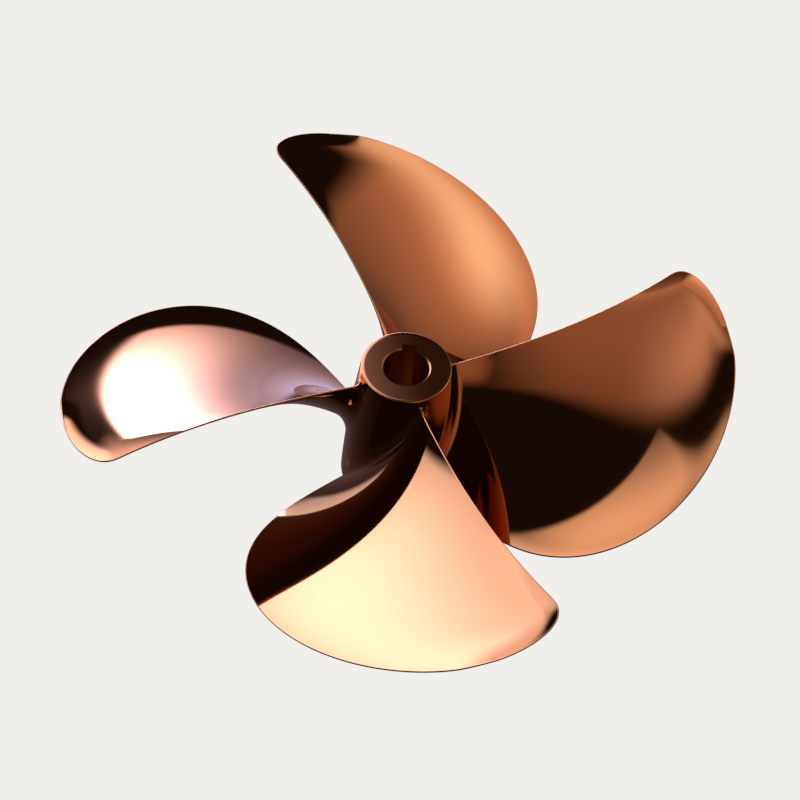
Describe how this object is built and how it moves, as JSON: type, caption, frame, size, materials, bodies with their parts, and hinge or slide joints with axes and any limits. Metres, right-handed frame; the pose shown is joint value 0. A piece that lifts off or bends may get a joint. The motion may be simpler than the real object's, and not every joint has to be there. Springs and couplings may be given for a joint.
{
  "type": "ship propeller",
  "caption": "Right-hand ship propeller, cast in one piece in bronze, with broad skewed blades, a tapered hub and a keyed taper bore.",
  "frame": {"origin": "centre of the large forward face of the hub, on the shaft axis", "axes": "+Z along the shaft axis, from the forward face towards the small aft face"},
  "size_m": [0.5962, 0.5962, 0.1597],
  "materials": {
    "polished_bronze": "polished, with turned end faces"
  },
  "bodies": {
    "root": {"propeller_casting": "polished_bronze"}
  },
  "joints": []
}
